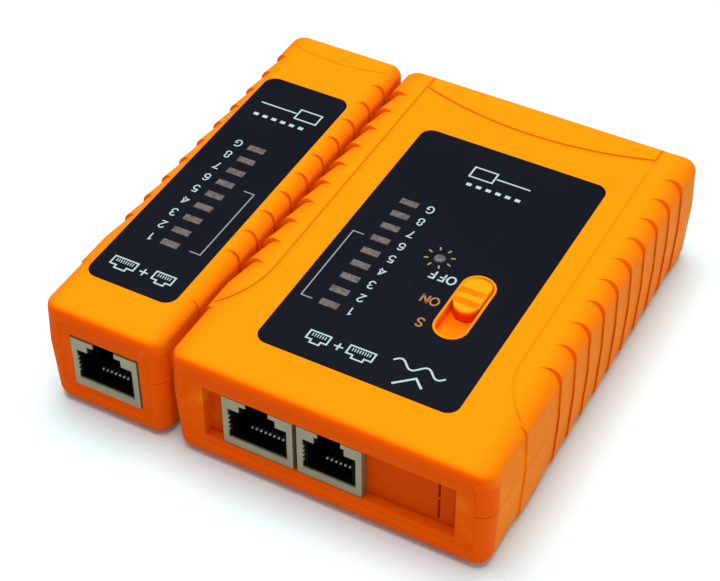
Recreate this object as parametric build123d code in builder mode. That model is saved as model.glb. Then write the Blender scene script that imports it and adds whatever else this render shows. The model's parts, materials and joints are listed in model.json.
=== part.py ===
"""Network cable tester: a main unit and a remote unit that slides onto a rail on its side.

Millimetres. X runs across both units with the remote at -X, Y runs from the socket face (-Y)
to the far end, Z is up. The origin is the centre of the footprint on the underside.
"""

import os

from build123d import *

# ---------------------------------------------------------------- driving dimensions
LENGTH = 106.0
HEIGHT = 27.4
MAIN_LOW, MAIN_HIGH = -21.0, 51.2
REMOTE_LOW, REMOTE_HIGH = -51.2, -21.6
FRONT = -LENGTH / 2
SEAM = 15.8

# case walls
WALL_SIDE = 2.8
WALL_FRONT = 2.9
WALL_FAR = 2.4
WALL_TOP = 2.2
WALL_FLOOR = 2.4
LEAN_TOP = 0.45
LEAN_BOTTOM = 0.7
EDGE_TOP = 2.2
EDGE_BOTTOM = 3.0
END_LEAN = 0.25
PLAN_CORNER = 3.4
SEAM_BEVEL = 0.2

# finger ribs along both long sides
RIB_FIRST = 30.8
RIB_PITCH = 7.13
RIB_COUNT = 10
RIB_DEPTH = 0.45
MAIN_REACH, MAIN_DROP = (5.8, 5.8), 3.8
REMOTE_REACH, REMOTE_DROP = (3.2, 4.4), 3.4
LOWER_REACH, LOWER_DROP = (3.6, 3.6), 3.4
SCOOP_MARGIN = 0.2
SCOOP_BOW = 0.9
SCOOP_TRAIL = 1.3

# raised grips of the main unit and the sunk panel between them
GRIP_START = 15.2
GRIP_STEP = 0.4
PANEL_SINK = 0.3
PANEL_LOW, PANEL_HIGH = -13.9, 42.6
PANEL_BEND = 31.0
PANEL_FAR = 100.8
PANEL_SAG = 4.9
LINE_WIDTH = 0.45
LINE_DEPTH = 0.14
NOTCH_HALF, NOTCH_DEPTH, NOTCH_RUN = 0.45, 0.6, 0.4

# overlay labels
LABEL_NEAR, LABEL_FAR = 11.5, 87.1
LABEL_THICK = 0.25
LABEL_SEAT = 0.15
LABEL_RISE = 0.1
LABEL_CORNER = 2.8
MAIN_LABEL_X, MAIN_LABEL_WIDTH = 14.9, 44.4
REMOTE_LABEL_X, REMOTE_LABEL_WIDTH = -37.0, 21.3

# indicator lamps
LAMP_COUNT = 9
LAMP_FIRST = 27.25
LAMP_PITCH = 4.39
LAMP_WIDE, LAMP_LONG = 4.2, 1.9
LAMP_GAP = 0.1
MAIN_LAMP_X, REMOTE_LAMP_X = 1.3, -36.65
POWER_LAMP_X, POWER_LAMP_Y, POWER_LAMP_R = 14.8, 49.9, 1.45
LAMP_TOP = 27.1
LAMP_FLANGE, LAMP_FLANGE_THICK = 0.4, 0.8

# circuit boards hang under the upper shells
BOARD_LOW, BOARD_TOP = 20.0, 21.6
BOARD_FRONT, BOARD_FAR = 4.6, 95.0
BOARD_SIDE_GAP = 0.8

# sockets
SOCKET_LOW = 6.45
SOCKET_HEIGHT = 13.25
SOCKET_DEPTH = 17.0
SOCKET_8_WIDTH, SOCKET_6_WIDTH = 16.0, 14.4
SOCKET_8_X, SOCKET_6_X, SOCKET_REMOTE_X = -0.55, 15.65, -36.2
SOCKET_MAIN_Y, SOCKET_REMOTE_Y = 1.0, 0.4
SHIELD = 0.4
SOCKET_GAP = 0.1
SOCKET_CAVITY = 12.8
SHIELD_TEETH, TOOTH_PITCH, TOOTH_HIGH, TOOTH_LONG = 4, 1.25, 0.5, 0.32
CONTACT_PITCH = 1.02
CONTACT_WIDE, CONTACT_THICK = 0.46, 0.32
CONTACT_SLOT_HALF = 0.31
CONTACT_REAR = 15.55
PIN_HOLE_R = 0.36

# front pocket of the main unit, with its port plate, and the shallow recess around it
POCKET_LOW_X, POCKET_HIGH_X = -12.8, 43.2
POCKET_LOW_Z, POCKET_HIGH_Z = 6.35, 20.3
PLATE_THICK = 1.4
PLATE_TOP = 21.5
PLATE_LAP = 1.2
SLIT_LOW_X, SLIT_HIGH_X = 38.4, 39.0
FACE_SINK = 0.7
FACE_SLOPE = 50.0

# three-position switch
SWITCH_X = 25.85
SWITCH_NEAR, SWITCH_FAR = 29.2, 49.0
SWITCH_WIDTH = 7.5
SWITCH_LIP = 0.5
SWITCH_LIP_RISE = 0.3
SWITCH_FLOOR = 24.9
SWITCH_TRAVEL = 5.0
KNOB_NEAR, KNOB_FAR = 37.3, 48.3
KNOB_WIDTH = 6.0
STEM_NEAR, STEM_FAR, STEM_WIDTH = 42.6, 45.2, 2.6
SLIDER_NEAR, SLIDER_FAR = 35.0, 51.0
SLIDER_LOW, SLIDER_HIGH = 22.9, 23.6
DECK_LOW = 23.8
SLIDER_WIDTH, SLIDER_FOOT = 5.0, 3.6
FOOT_REACH = 0.4
KNOB_MIDDLE = 42.2
KNOB_GROOVES = (39.7, 42.7)
HOUSING_WIDTH = 7.0
HOUSING_NEAR, HOUSING_FAR, HOUSING_LOW = 35.5, 47.5, 17.4
HOUSING_FLANGE, HOUSING_FLANGE_THICK = 0.8, 0.6
KNOB_BASE, KNOB_TOP = 25.1, 28.35
KNOB_FALL_NEAR, KNOB_FALL_FAR = 0.75, 0.95
KNOB_EDGE = 0.5
GROOVE_R, GROOVE_LIFT = 0.85, 0.25

# battery, its door and the side rail
BATTERY_X, BATTERY_WIDTH = 15.1, 26.5
BATTERY_NEAR, BATTERY_LENGTH = 50.0, 48.5
BATTERY_LOW, BATTERY_HEIGHT = 2.5, 17.0
STUD_SPACING, STUD_LENGTH, STUD_Z = 12.7, 3.0, 11.0
SNAP_NEAR, SNAP_FAR = 44.0, 48.2
DOOR_NEAR = 49.0
DOOR_WIDTH = 27.4
DOOR_TONGUE = 1.3
DOOR_TONGUE_LOW, DOOR_THICK = 1.2, 2.2
DOOR_GAP = 0.1
GUIDE_INNER, GUIDE_OUTER, GUIDE_TOP = 13.6, 17.0, 3.8
BATTERY_WALL_OUTER, BATTERY_WALL_TOP = 14.8, 15.0
DOOR_CLEAR_HALF = 13.5
RAIL_NEAR, RAIL_FAR = 25.0, 95.0
RAIL_Z = 9.2
RAIL_TIP, RAIL_LIP = -25.2, -23.8
RAIL_NECK, RAIL_HEAD = 2.4, 5.2
RAIL_GAP = 0.1
RAIL_WALL_THICK = 1.8

# battery studs and leads
STUD_R, STUD_HEX_R = 2.9, 4.1
LEAD_R = 0.7

# components on the boards
CHIP_WIDE, CHIP_LONG, CHIP_LOW, CHIP_HIGH = 3.9, 9.8, 0.2, 1.7
CHIP_SPAN, CHIP_PINS, CHIP_PIN_PITCH, CHIP_PIN_WIDE, CHIP_PIN_HIGH = 6.0, 8, 1.27, 0.4, 0.5

# fasteners
CASE_SCREW_R, CASE_HEAD_R = 1.25, 2.2
CASE_HEAD_LOW, CASE_HEAD_Z, CASE_SCREW_TIP = 2.9, 4.5, 23.0
BOSS_R = 3.0
THREAD_GAP = 0.03
PASS_GAP = 0.15
MAIN_SCREWS = [(-14.5, 26.0), (44.7, 26.0), (-14.5, 99.0), (44.7, 99.0)]
REMOTE_SCREWS = [(-45.9, 24.0), (-29.6, 24.0), (-45.9, 99.5), (-29.6, 99.5)]
BOARD_SCREW_R, BOARD_HEAD_R = 1.0, 1.9
BOARD_HEAD_DEPTH, BOARD_SCREW_TIP = 1.4, 24.5
POST_R = 2.2
MAIN_BOARD_SCREWS = [(-10.5, 22.0), (38.5, 22.0), (-10.5, 90.0), (38.5, 90.0)]
REMOTE_BOARD_SCREWS = [(-43.5, 40.0), (-43.5, 82.0)]

os.makedirs("parts", exist_ok=True)


def at(distance):
    """Y of a point this far behind the socket face."""
    return FRONT + distance


def cross_plane(distance):
    """Plane facing -Y, this far behind the socket face: its x is X and its y is Z."""
    return Plane(origin=(0, at(distance), 0), x_dir=(1, 0, 0), z_dir=(0, -1, 0))


def side_plane(x):
    """Plane facing +X: its x is Y and its y is Z."""
    return Plane(origin=(x, 0, 0), x_dir=(0, 1, 0), z_dir=(1, 0, 0))


# ---------------------------------------------------------------- case halves
def rounded_block(low, high, near, far, flat, lean, edge):
    """One drafted case half from the seam to its flat, with rounded corners all round."""
    up = 1 if flat > SEAM else -1
    middle = ((low + high) / 2, at((near + far) / 2))
    width, length = high - low, far - near
    with BuildPart() as half:
        with BuildSketch(Plane.XY.offset(SEAM)):
            with Locations(middle):
                RectangleRounded(width - 2 * SEAM_BEVEL, length - 2 * SEAM_BEVEL, PLAN_CORNER)
        with BuildSketch(Plane.XY.offset(SEAM + up * SEAM_BEVEL)):
            with Locations(middle):
                RectangleRounded(width, length, PLAN_CORNER)
        with BuildSketch(Plane.XY.offset(flat)):
            with Locations(middle):
                RectangleRounded(width - 2 * lean, length - 2 * END_LEAN, PLAN_CORNER)
        loft(ruled=True)
        levels = half.faces().sort_by(Axis.Z)
        fillet(levels[-1 if up > 0 else 0].edges(), edge)
    return half.part


def between(start, corner, share):
    """Point part of the way from one point to another."""
    return (start[0] + (corner[0] - start[0]) * share, start[1] + (corner[1] - start[1]) * share)


def grip_section(low, high, flat, lean, inset, reaches, drop):
    """Half section whose outer corners bend over a reach across the flat and a drop down the side."""
    left, right = low + inset, high - inset
    tall = flat - SEAM
    turn = drop / abs(tall)
    ends = []
    for side_x, inward, reach in ((left, 1, reaches[0]), (right, -1, reaches[1])):
        corner = (side_x + inward * lean, flat)
        on_side = (side_x + inward * lean * (1 - turn), flat - tall * turn)
        on_flat = (corner[0] + inward * reach, flat)
        ends.append((on_side, between(on_side, corner, 0.55), between(on_flat, corner, 0.55), on_flat))
    with BuildSketch() as section:
        with BuildLine():
            Line((left, SEAM), ends[0][0])
            Bezier(*ends[0])
            Line(ends[0][3], ends[1][3])
            Bezier(*reversed(ends[1]))
            Line(ends[1][0], (right, SEAM))
            Line((right, SEAM), (left, SEAM))
        make_face()
    return section.sketch


def scoop_plan(low, high, start, wall, reaches):
    """Plan of one pair of finger scoops: far ends bowed away, inner ends trailing back."""
    with BuildSketch() as plan:
        for edge_x, inward, reach in ((low, 1, reaches[0]), (high, -1, reaches[1])):
            outside = (edge_x - inward * 2.0, at(wall))
            inner = edge_x + inward * (reach + SCOOP_MARGIN)
            with BuildLine():
                Line((outside[0], at(start)), outside)
                Line(outside, (edge_x, at(wall)))
                ThreePointArc(
                    (edge_x, at(wall)),
                    (edge_x + inward * reach * 0.5, at(wall + SCOOP_BOW)),
                    (inner, at(wall - SCOOP_TRAIL)),
                )
                Line((inner, at(wall - SCOOP_TRAIL)), (inner, at(start)))
                Line((inner, at(start)), (outside[0], at(start)))
            make_face()
    return plan.sketch


def finger_scoops(low, high, flat, lean, edge, reaches, drop):
    """Everything to cut from one case half to leave the ribs for the fingers."""
    up = 1 if flat > SEAM else -1
    z_low, z_high = min(SEAM, flat - 1.0), max(SEAM, flat + 1.0)
    cuts = []
    for k in range(RIB_COUNT):
        wall = RIB_FIRST + k * RIB_PITCH
        start = wall - RIB_PITCH
        finish = wall + SCOOP_BOW + 0.2
        with BuildPart() as keep:
            with BuildSketch(cross_plane(start)):
                add(grip_section(low, high, flat + up * 0.02, lean, -0.02, (edge, edge), edge))
            with BuildSketch(cross_plane(finish)):
                add(grip_section(low, high, flat + up * 0.02, lean, RIB_DEPTH, reaches, drop))
            loft(ruled=True)
        with BuildPart() as slab:
            with BuildSketch(Plane.XY.offset(z_low)):
                add(scoop_plan(low, high, start, wall, reaches))
            extrude(amount=z_high - z_low)
        cuts.append(slab.part - keep.part)
    return cuts


def case_half(low, high, flat, lean, edge, reaches, drop, nose_drop=0.0):
    """Solid half case: narrower nose by the sockets, then grips with finger ribs."""
    nose = rounded_block(low + GRIP_STEP, high - GRIP_STEP, 0.0, LENGTH, flat - nose_drop, lean, edge)
    grips = rounded_block(low, high, 0.0, LENGTH, flat, lean, edge)
    nose_zone = block(low - 1, high + 1, -1, GRIP_START, -1, HEIGHT + 1)
    grip_zone = block(low - 1, high + 1, GRIP_START, LENGTH + 1, -1, HEIGHT + 1)
    body = (nose & nose_zone) + (grips & grip_zone)
    for cut in finger_scoops(low, high, flat, lean, edge, reaches, drop):
        body = body - cut
    return body


def cavity(low, high, flat, near, far, edge):
    """Space inside one case half."""
    with BuildPart() as space:
        with BuildSketch(cross_plane(far)):
            add(grip_section(low, high, flat, 0.4, 0.0, (edge, edge), edge))
        extrude(amount=far - near)
    return space.part


def round_posts(points, radius, z_low, z_high):
    """One upright cylinder at each (x, distance behind the front) point."""
    with BuildPart() as posts:
        with BuildSketch(Plane.XY.offset(z_low)):
            with Locations(*[(x, at(y)) for x, y in points]):
                Circle(radius)
        extrude(amount=z_high - z_low)
    return posts.part


def plate(x_centre, width, near, far, z_low, z_high, corner=0.0):
    """Flat plate with optional rounded corners."""
    with BuildPart() as flat:
        with BuildSketch(Plane.XY.offset(z_low)) as face:
            with Locations((x_centre, at((near + far) / 2))):
                Rectangle(width, far - near)
            if corner:
                fillet(face.vertices(), corner)
        extrude(amount=z_high - z_low)
    return flat.part


def block(x_low, x_high, near, far, z_low, z_high):
    """Plain block between limits."""
    return plate((x_low + x_high) / 2, x_high - x_low, near, far, z_low, z_high)


def slot_plate(x, near, far, width, z_low, z_high):
    """Obround plate that runs along Y."""
    with BuildPart() as flat:
        with BuildSketch(Plane.XY.offset(z_low)):
            with Locations((x, at((near + far) / 2))):
                SlotOverall(far - near, width, rotation=90)
        extrude(amount=z_high - z_low)
    return flat.part


def lamp_windows(x, gap, z_low, z_high):
    """The row of rectangular lamp openings, as one solid to cut with."""
    with BuildPart() as windows:
        with BuildSketch(Plane.XY.offset(z_low)):
            with Locations(*[(x, at(LAMP_FIRST + k * LAMP_PITCH)) for k in range(LAMP_COUNT)]):
                Rectangle(LAMP_WIDE + 2 * gap, LAMP_LONG + 2 * gap)
        extrude(amount=z_high - z_low)
    return windows.part


def face_recess(x_low, x_high, z_low, z_high):
    """Shallow recess in the socket face, with rounded corners and sloping sides."""
    with BuildPart() as recess:
        with BuildSketch(cross_plane(-0.01)) as outline:
            with Locations(((x_low + x_high) / 2, (z_low + z_high) / 2)):
                Rectangle(x_high - x_low, z_high - z_low)
            fillet(outline.vertices(), 3.0)
        extrude(amount=-FACE_SINK - 0.01, taper=FACE_SLOPE)
    return recess.part


def arc_line(x_low, x_high, far, sag, floor, top):
    """Thin line cut along a shallow arc that bows towards the socket face."""
    middle = (x_low + x_high) / 2
    with BuildPart() as line:
        with BuildSketch(Plane.XY.offset(floor)):
            with BuildLine():
                near_arc = ThreePointArc((x_low, at(far)), (middle, at(far - sag)), (x_high, at(far)))
                far_arc = ThreePointArc(
                    (x_low, at(far + LINE_WIDTH)),
                    (middle, at(far - sag + LINE_WIDTH)),
                    (x_high, at(far + LINE_WIDTH)),
                )
                Line(near_arc @ 0, far_arc @ 0)
                Line(near_arc @ 1, far_arc @ 1)
            make_face()
        extrude(amount=top - floor)
    return line.part


def panel_outline(inset):
    """Outline of the sunk panel on the main unit: open to the nose, bowed at the far end."""
    low, high = PANEL_LOW + inset, PANEL_HIGH - inset
    middle = (low + high) / 2
    far = PANEL_FAR - inset
    reach = MAIN_HIGH + 1.0
    flare = 2.4
    with BuildSketch() as outline:
        with BuildLine():
            Line((low, at(PANEL_BEND)), (low, at(far)))
            ThreePointArc((low, at(far)), (middle, at(far - PANEL_SAG)), (high, at(far)))
            Line((high, at(far)), (high, at(PANEL_BEND)))
            ThreePointArc(
                (high, at(PANEL_BEND)),
                (high + flare, at(PANEL_BEND - 9.6)),
                (reach, at(GRIP_START - 1.5 + inset)),
            )
            Line((reach, at(GRIP_START - 1.5 + inset)), (reach, at(GRIP_START - 5)))
            Line((reach, at(GRIP_START - 5)), (MAIN_LOW - 1.0, at(GRIP_START - 5)))
            Line((MAIN_LOW - 1.0, at(GRIP_START - 5)), (MAIN_LOW - 1.0, at(GRIP_START - 1.5 + inset)))
            ThreePointArc(
                (MAIN_LOW - 1.0, at(GRIP_START - 1.5 + inset)),
                (low - flare, at(PANEL_BEND - 9.6)),
                (low, at(PANEL_BEND)),
            )
        make_face()
    return outline.sketch


PANEL_Z = HEIGHT - PANEL_SINK

MAIN_TOP_BODY = case_half(
    MAIN_LOW, MAIN_HIGH, HEIGHT, LEAN_TOP, EDGE_TOP, MAIN_REACH, MAIN_DROP, PANEL_SINK
)
MAIN_BOTTOM_BODY = case_half(
    MAIN_LOW, MAIN_HIGH, 0.0, LEAN_BOTTOM, EDGE_BOTTOM, LOWER_REACH, LOWER_DROP
)
REMOTE_TOP_BODY = case_half(
    REMOTE_LOW, REMOTE_HIGH, PANEL_Z, LEAN_TOP, EDGE_TOP, REMOTE_REACH, REMOTE_DROP
)
REMOTE_BOTTOM_BODY = case_half(
    REMOTE_LOW, REMOTE_HIGH, 0.0, LEAN_BOTTOM, EDGE_BOTTOM, LOWER_REACH, LOWER_DROP
)

MAIN_INNER_LOW, MAIN_INNER_HIGH = MAIN_LOW + WALL_SIDE, MAIN_HIGH - WALL_SIDE
REMOTE_INNER_LOW = REMOTE_LOW + WALL_SIDE
REMOTE_INNER_HIGH = REMOTE_HIGH - WALL_SIDE
MAIN_RECESS = face_recess(MAIN_LOW + 3.6, MAIN_HIGH - 3.4, 3.6, HEIGHT - 2.6)
REMOTE_RECESS = face_recess(REMOTE_LOW + 3.9, REMOTE_HIGH - 3.3, 3.6, HEIGHT - 2.6)


def front_opening(x_low, x_high, z_low, z_high):
    """Rectangular opening through a front wall."""
    return block(x_low, x_high, -1.0, WALL_FRONT + 0.5, z_low, z_high)


# ---------------------------------------------------------------- main unit shells
# dished finger recess around the knob, its floor sweeping up at the near end
with BuildPart() as dish:
    add(slot_plate(
        SWITCH_X,
        SWITCH_NEAR + SWITCH_LIP,
        SWITCH_FAR - SWITCH_LIP,
        SWITCH_WIDTH - 2 * SWITCH_LIP,
        SWITCH_FLOOR,
        HEIGHT + 1,
    ))
    with BuildSketch(side_plane(SWITCH_X - SWITCH_WIDTH)):
        with BuildLine():
            ramp = Bezier(
                (at(SWITCH_NEAR), SWITCH_FLOOR + 2.1),
                (at(SWITCH_NEAR + 0.6), SWITCH_FLOOR + 0.1),
                (at(SWITCH_NEAR + 1.8), SWITCH_FLOOR),
                (at(SWITCH_NEAR + 4.8), SWITCH_FLOOR),
            )
            Polyline(ramp @ 1, (at(SWITCH_NEAR), SWITCH_FLOOR), ramp @ 0)
        make_face()
    extrude(amount=2 * SWITCH_WIDTH, mode=Mode.SUBTRACT)

with BuildPart() as main_upper_shell:
    add(MAIN_TOP_BODY)
    with BuildSketch(Plane.XY.offset(PANEL_Z)):
        add(panel_outline(0))
    extrude(amount=1.0, mode=Mode.SUBTRACT)
    with BuildSketch(Plane.XY.offset(PANEL_Z - LINE_DEPTH)):
        add(panel_outline(0))
        add(panel_outline(LINE_WIDTH), mode=Mode.SUBTRACT)
    extrude(amount=LINE_DEPTH + 0.5, mode=Mode.SUBTRACT)
    for line_x in (PANEL_LOW + LINE_WIDTH / 2, PANEL_HIGH - LINE_WIDTH / 2):
        with BuildSketch(cross_plane(LENGTH + 1)):
            with BuildLine():
                Polyline(
                    (line_x - NOTCH_HALF, HEIGHT + 0.1),
                    (line_x, HEIGHT - NOTCH_DEPTH),
                    (line_x + NOTCH_HALF, HEIGHT + 0.1),
                    close=True,
                )
            make_face()
        extrude(amount=LENGTH + 1 - PANEL_FAR + NOTCH_RUN, mode=Mode.SUBTRACT)
    inside = cavity(
        MAIN_INNER_LOW, MAIN_INNER_HIGH, PANEL_Z - WALL_TOP, WALL_FRONT, LENGTH - WALL_FAR, 2.4
    )
    add(inside, mode=Mode.SUBTRACT)
    add(slot_plate(SWITCH_X, SWITCH_NEAR - 1, SWITCH_FAR + 1, SWITCH_WIDTH + 2, DECK_LOW, PANEL_Z - 1))
    add(slot_plate(SWITCH_X, SWITCH_NEAR, SWITCH_FAR, SWITCH_WIDTH, PANEL_Z - 1, PANEL_Z + SWITCH_LIP_RISE))
    add(round_posts(MAIN_SCREWS, BOSS_R, SEAM, PANEL_Z - 1))
    main_bores = round_posts(MAIN_SCREWS, CASE_SCREW_R + THREAD_GAP, SEAM - 1, PANEL_Z - 2.5)
    add(main_bores, mode=Mode.SUBTRACT)
    add(round_posts(MAIN_BOARD_SCREWS, POST_R, BOARD_TOP, PANEL_Z - 1))
    main_post_bores = round_posts(MAIN_BOARD_SCREWS, BOARD_SCREW_R + THREAD_GAP, BOARD_TOP - 1, PANEL_Z - 2)
    add(main_post_bores, mode=Mode.SUBTRACT)
    add(dish.part, mode=Mode.SUBTRACT)
    add(block(
        SWITCH_X - STEM_WIDTH / 2 - 0.1,
        SWITCH_X + STEM_WIDTH / 2 + 0.1,
        STEM_NEAR - SWITCH_TRAVEL - 0.2,
        STEM_FAR + 0.2,
        DECK_LOW - 1,
        SWITCH_FLOOR + 1,
    ), mode=Mode.SUBTRACT)
    # seat of the label and the lamp openings
    with BuildSketch(Plane.XY.offset(PANEL_Z - LABEL_SEAT)) as seat:
        with Locations((MAIN_LABEL_X, at((LABEL_NEAR + LABEL_FAR) / 2))):
            Rectangle(MAIN_LABEL_WIDTH, LABEL_FAR - LABEL_NEAR)
        fillet(seat.vertices(), LABEL_CORNER)
        with Locations((SWITCH_X, at((SWITCH_NEAR + SWITCH_FAR) / 2))):
            SlotOverall(SWITCH_FAR - SWITCH_NEAR, SWITCH_WIDTH, rotation=90, mode=Mode.SUBTRACT)
    extrude(amount=1.0, mode=Mode.SUBTRACT)
    add(lamp_windows(MAIN_LAMP_X, LAMP_GAP, PANEL_Z - 4, HEIGHT), mode=Mode.SUBTRACT)
    power_window = round_posts(
        [(POWER_LAMP_X, POWER_LAMP_Y)], POWER_LAMP_R + LAMP_GAP, PANEL_Z - 4, HEIGHT
    )
    add(power_window, mode=Mode.SUBTRACT)
    add(MAIN_RECESS, mode=Mode.SUBTRACT)
    add(front_opening(POCKET_LOW_X, POCKET_HIGH_X, POCKET_LOW_Z, POCKET_HIGH_Z), mode=Mode.SUBTRACT)
main_upper_shell.part.label = "main_upper_shell"
export_step(main_upper_shell.part, "parts/main_upper_shell.step")

with BuildPart() as main_lower_shell:
    add(MAIN_BOTTOM_BODY)
    add(cavity(
        MAIN_INNER_LOW, MAIN_INNER_HIGH, WALL_FLOOR, WALL_FRONT, LENGTH - WALL_FAR, 2.0
    ), mode=Mode.SUBTRACT)
    # walls and door guides along both sides of the battery
    for side in (-1, 1):
        guide_x = BATTERY_X + side * (GUIDE_INNER + GUIDE_OUTER) / 2
        add(plate(
            guide_x, GUIDE_OUTER - GUIDE_INNER, DOOR_NEAR - 3, LENGTH - WALL_FAR, 1.0, GUIDE_TOP
        ))
        wall_x = BATTERY_X + side * (GUIDE_INNER + BATTERY_WALL_OUTER) / 2
        add(plate(
            wall_x,
            BATTERY_WALL_OUTER - GUIDE_INNER,
            DOOR_NEAR - 1,
            LENGTH - WALL_FAR,
            1.0,
            BATTERY_WALL_TOP,
        ))
    add(round_posts(MAIN_SCREWS, BOSS_R, 1.0, SEAM))
    add(round_posts(MAIN_SCREWS, CASE_SCREW_R + PASS_GAP, -1, SEAM + 1), mode=Mode.SUBTRACT)
    add(round_posts(MAIN_SCREWS, CASE_HEAD_R + PASS_GAP, -1, CASE_HEAD_Z), mode=Mode.SUBTRACT)
    # opening for the battery door: narrow below, wide for its tongues above
    door_half = DOOR_WIDTH / 2 + DOOR_GAP
    tongue_half = DOOR_WIDTH / 2 + DOOR_TONGUE + DOOR_GAP
    door_low, door_high = BATTERY_X - door_half, BATTERY_X + door_half
    add(block(
        door_low, door_high, DOOR_NEAR - DOOR_GAP, LENGTH + 1, -1, DOOR_TONGUE_LOW
    ), mode=Mode.SUBTRACT)
    add(block(
        BATTERY_X - tongue_half,
        BATTERY_X + tongue_half,
        DOOR_NEAR - DOOR_GAP,
        LENGTH + 1,
        DOOR_TONGUE_LOW - DOOR_GAP,
        DOOR_THICK + DOOR_GAP,
    ), mode=Mode.SUBTRACT)
    add(plate(
        BATTERY_X, 2 * DOOR_CLEAR_HALF, DOOR_NEAR, LENGTH - WALL_FAR, 1.0, 4.0
    ), mode=Mode.SUBTRACT)
    # rail on the side towards the remote unit
    rail_root = MAIN_LOW + 2.0
    neck_low, neck_high = RAIL_Z - RAIL_NECK / 2, RAIL_Z + RAIL_NECK / 2
    head_low, head_high = RAIL_Z - RAIL_HEAD / 2, RAIL_Z + RAIL_HEAD / 2
    add(block(RAIL_TIP, rail_root, RAIL_NEAR, RAIL_FAR, neck_low, neck_high))
    add(block(RAIL_TIP, RAIL_LIP, RAIL_NEAR, RAIL_FAR, head_low, head_high))
    add(MAIN_RECESS, mode=Mode.SUBTRACT)
    add(front_opening(POCKET_LOW_X, POCKET_HIGH_X, POCKET_LOW_Z, POCKET_HIGH_Z), mode=Mode.SUBTRACT)
main_lower_shell.part.label = "main_lower_shell"
export_step(main_lower_shell.part, "parts/main_lower_shell.step")

with BuildPart() as battery_door:
    add(block(
        BATTERY_X - DOOR_WIDTH / 2, BATTERY_X + DOOR_WIDTH / 2, DOOR_NEAR, LENGTH, 0.0, DOOR_TONGUE_LOW
    ))
    add(block(
        BATTERY_X - DOOR_WIDTH / 2 - DOOR_TONGUE,
        BATTERY_X + DOOR_WIDTH / 2 + DOOR_TONGUE,
        DOOR_NEAR,
        LENGTH,
        DOOR_TONGUE_LOW,
        DOOR_THICK,
    ))
    add(MAIN_BOTTOM_BODY, mode=Mode.INTERSECT)
    # thumb grooves across the underside
    with BuildSketch(Plane.XY.offset(-0.5)):
        with GridLocations(0, 1.8, 1, 5, align=(Align.CENTER, Align.MIN)):
            with Locations((BATTERY_X, at(DOOR_NEAR + 5))):
                Rectangle(16.0, 0.9)
    extrude(amount=0.9, mode=Mode.SUBTRACT)
battery_door.part.label = "battery_door"
export_step(battery_door.part, "parts/battery_door.step")

# ---------------------------------------------------------------- remote unit shells
with BuildPart() as remote_upper_shell:
    add(REMOTE_TOP_BODY)
    add(arc_line(
        REMOTE_LOW + 1.5, REMOTE_HIGH - 2.9, LENGTH - 5.5, 2.0, PANEL_Z - LINE_DEPTH, HEIGHT + 1
    ), mode=Mode.SUBTRACT)
    add(cavity(
        REMOTE_INNER_LOW, REMOTE_INNER_HIGH, PANEL_Z - WALL_TOP, WALL_FRONT - 1.0, LENGTH - WALL_FAR, 2.4
    ), mode=Mode.SUBTRACT)
    add(round_posts(REMOTE_SCREWS, BOSS_R, SEAM, PANEL_Z - 1))
    remote_bores = round_posts(REMOTE_SCREWS, CASE_SCREW_R + THREAD_GAP, SEAM - 1, PANEL_Z - 2.5)
    add(remote_bores, mode=Mode.SUBTRACT)
    add(round_posts(REMOTE_BOARD_SCREWS, POST_R, BOARD_TOP, PANEL_Z - 1))
    remote_post_bores = round_posts(
        REMOTE_BOARD_SCREWS, BOARD_SCREW_R + THREAD_GAP, BOARD_TOP - 1, PANEL_Z - 2
    )
    add(remote_post_bores, mode=Mode.SUBTRACT)
    with BuildSketch(Plane.XY.offset(PANEL_Z + LABEL_RISE - LABEL_THICK)) as remote_seat:
        with Locations((REMOTE_LABEL_X, at((LABEL_NEAR + LABEL_FAR) / 2))):
            Rectangle(REMOTE_LABEL_WIDTH, LABEL_FAR - LABEL_NEAR)
        fillet(remote_seat.vertices(), LABEL_CORNER)
    extrude(amount=2.0, mode=Mode.SUBTRACT)
    add(lamp_windows(REMOTE_LAMP_X, LAMP_GAP, PANEL_Z - 4, HEIGHT), mode=Mode.SUBTRACT)
    add(REMOTE_RECESS, mode=Mode.SUBTRACT)
    socket_half = SOCKET_8_WIDTH / 2 + 0.3
    socket_hole = front_opening(
        SOCKET_REMOTE_X - socket_half,
        SOCKET_REMOTE_X + socket_half,
        SOCKET_LOW - 0.3,
        SOCKET_LOW + SOCKET_HEIGHT + 0.3,
    )
    add(socket_hole, mode=Mode.SUBTRACT)
remote_upper_shell.part.label = "remote_upper_shell"
export_step(remote_upper_shell.part, "parts/remote_upper_shell.step")

with BuildPart() as remote_lower_shell:
    add(REMOTE_BOTTOM_BODY)
    add(cavity(
        REMOTE_INNER_LOW, REMOTE_INNER_HIGH, WALL_FLOOR, WALL_FRONT - 1.0, LENGTH - WALL_FAR, 2.0
    ), mode=Mode.SUBTRACT)
    add(round_posts(REMOTE_SCREWS, BOSS_R, 1.0, SEAM))
    # thick wall that holds the slot for the rail of the main unit
    add(block(
        RAIL_TIP - RAIL_WALL_THICK, REMOTE_HIGH - 2.0, RAIL_NEAR - 3, LENGTH - WALL_FAR, 1.0, SEAM
    ))
    add(round_posts(REMOTE_SCREWS, CASE_SCREW_R + PASS_GAP, -1, SEAM + 1), mode=Mode.SUBTRACT)
    add(round_posts(REMOTE_SCREWS, CASE_HEAD_R + PASS_GAP, -1, CASE_HEAD_Z), mode=Mode.SUBTRACT)
    add(block(
        RAIL_TIP - RAIL_GAP,
        REMOTE_HIGH + 1,
        RAIL_NEAR - RAIL_GAP,
        LENGTH + 1,
        neck_low - RAIL_GAP,
        neck_high + RAIL_GAP,
    ), mode=Mode.SUBTRACT)
    add(block(
        RAIL_TIP - RAIL_GAP,
        RAIL_LIP + RAIL_GAP,
        RAIL_NEAR - RAIL_GAP,
        LENGTH + 1,
        head_low - RAIL_GAP,
        head_high + RAIL_GAP,
    ), mode=Mode.SUBTRACT)
    add(REMOTE_RECESS, mode=Mode.SUBTRACT)
    add(socket_hole, mode=Mode.SUBTRACT)
remote_lower_shell.part.label = "remote_lower_shell"
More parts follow.
